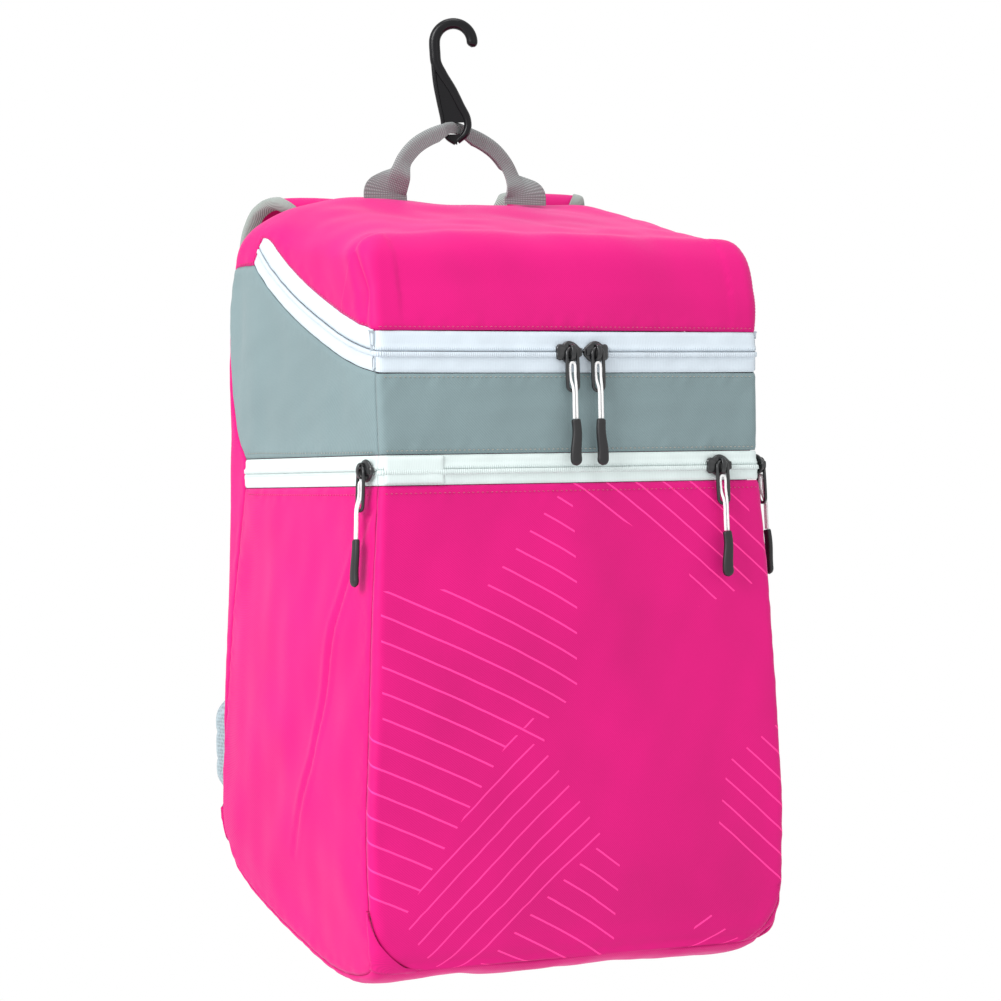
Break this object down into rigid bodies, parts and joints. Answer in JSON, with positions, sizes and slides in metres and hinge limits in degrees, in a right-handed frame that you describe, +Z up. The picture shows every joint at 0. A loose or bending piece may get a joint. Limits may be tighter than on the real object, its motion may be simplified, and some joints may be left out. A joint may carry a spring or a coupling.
{
  "type": "baseball bat backpack",
  "caption": "Soft box backpack with a zipped lid, front and side zip pockets, padded shoulder straps, a lumbar pad and a webbing handle carrying a plastic fence hook.",
  "frame": {"origin": "the hanging point: inner top of the fence hook's curl, which lies on a fence wire or rail", "axes": "+Z up, -Y towards the front panel, +X to the bag's right as seen from the front"},
  "size_m": [0.3129, 0.2668, 0.6324],
  "materials": {
    "pink_twill": "coated twill with a soft sheen",
    "lining": "thin lining cloth",
    "grey_twill": "coated twill",
    "zip_tape": "laminated zip tape with a covered coil",
    "zip_hardware": "black lacquer",
    "pull_cord": "braided cord",
    "grip_rubber": "matt moulded rubber",
    "binding": "ribbed tape",
    "webbing": "woven webbing",
    "buckle_plastic": "moulded",
    "air_mesh": "air mesh with quilted lines",
    "hook_plastic": "glossy"
  },
  "bodies": {
    "root": {"lid": "pink_twill", "front_panel": "pink_twill", "side_panel_left": "pink_twill", "side_panel_right": "pink_twill", "back_panel": "pink_twill", "base_panel": "pink_twill", "shoulder_strap_left": "pink_twill", "shoulder_strap_right": "pink_twill", "front_pocket_wall": "lining", "side_pocket_wall_left": "lining", "side_pocket_wall_right": "lining", "band_front": "grey_twill", "band_left": "grey_twill", "band_right": "grey_twill", "lid_zip_tape_upper": "zip_tape", "lid_zip_tape_lower": "zip_tape", "front_zip_tape_upper": "zip_tape", "front_zip_tape_lower": "zip_tape", "side_zip_tape_upper_left": "zip_tape", "side_zip_tape_upper_right": "zip_tape", "side_zip_tape_lower_left": "zip_tape", "side_zip_tape_lower_right": "zip_tape", "front_zip_patch": "zip_tape", "slider_lid_left": "zip_hardware", "ring_lid_left": "zip_hardware", "slider_lid_right": "zip_hardware", "ring_lid_right": "zip_hardware", "slider_front": "zip_hardware", "ring_front": "zip_hardware", "slider_side_left": "zip_hardware", "ring_side_left": "zip_hardware", "slider_side_right": "zip_hardware", "ring_side_right": "zip_hardware", "cord_lid_left": "pull_cord", "cord_lid_right": "pull_cord", "cord_front": "pull_cord", "cord_side_left": "pull_cord", "cord_side_right": "pull_cord", "grip_lid_left": "grip_rubber", "grip_lid_right": "grip_rubber", "grip_front": "grip_rubber", "grip_side_left": "grip_rubber", "grip_side_right": "grip_rubber", "strap_binding_left": "binding", "strap_binding_right": "binding", "strap_webbing_left": "webbing", "strap_webbing_right": "webbing", "carry_handle": "webbing", "strap_buckle_left": "buckle_plastic", "strap_buckle_right": "buckle_plastic", "back_pad": "air_mesh", "fence_hook": "hook_plastic"}
  },
  "joints": []
}
